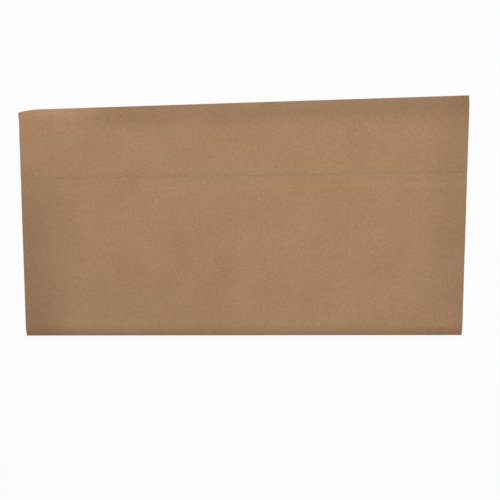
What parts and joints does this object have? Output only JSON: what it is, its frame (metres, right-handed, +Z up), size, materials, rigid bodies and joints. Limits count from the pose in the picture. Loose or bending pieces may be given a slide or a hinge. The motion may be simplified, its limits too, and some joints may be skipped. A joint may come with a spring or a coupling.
{
  "type": "flattened cardboard box",
  "caption": "Plain brown corrugated box knocked down flat: a sleeve folded at both long sides, with a pressed score across the front and a glued joint on the back.",
  "frame": {"origin": "middle of the footprint, on the plane that the flattened box lies on", "axes": "+X along the flutes, the score and the two folds; +Y towards the fold beside the narrow front panel; +Z up, out of the front"},
  "size_m": [0.48, 0.25, 0.0098],
  "materials": {
    "kraft_board": "matte brown kraft paper, slightly mottled"
  },
  "bodies": {
    "root": {"flattened_box": "kraft_board"}
  },
  "joints": []
}
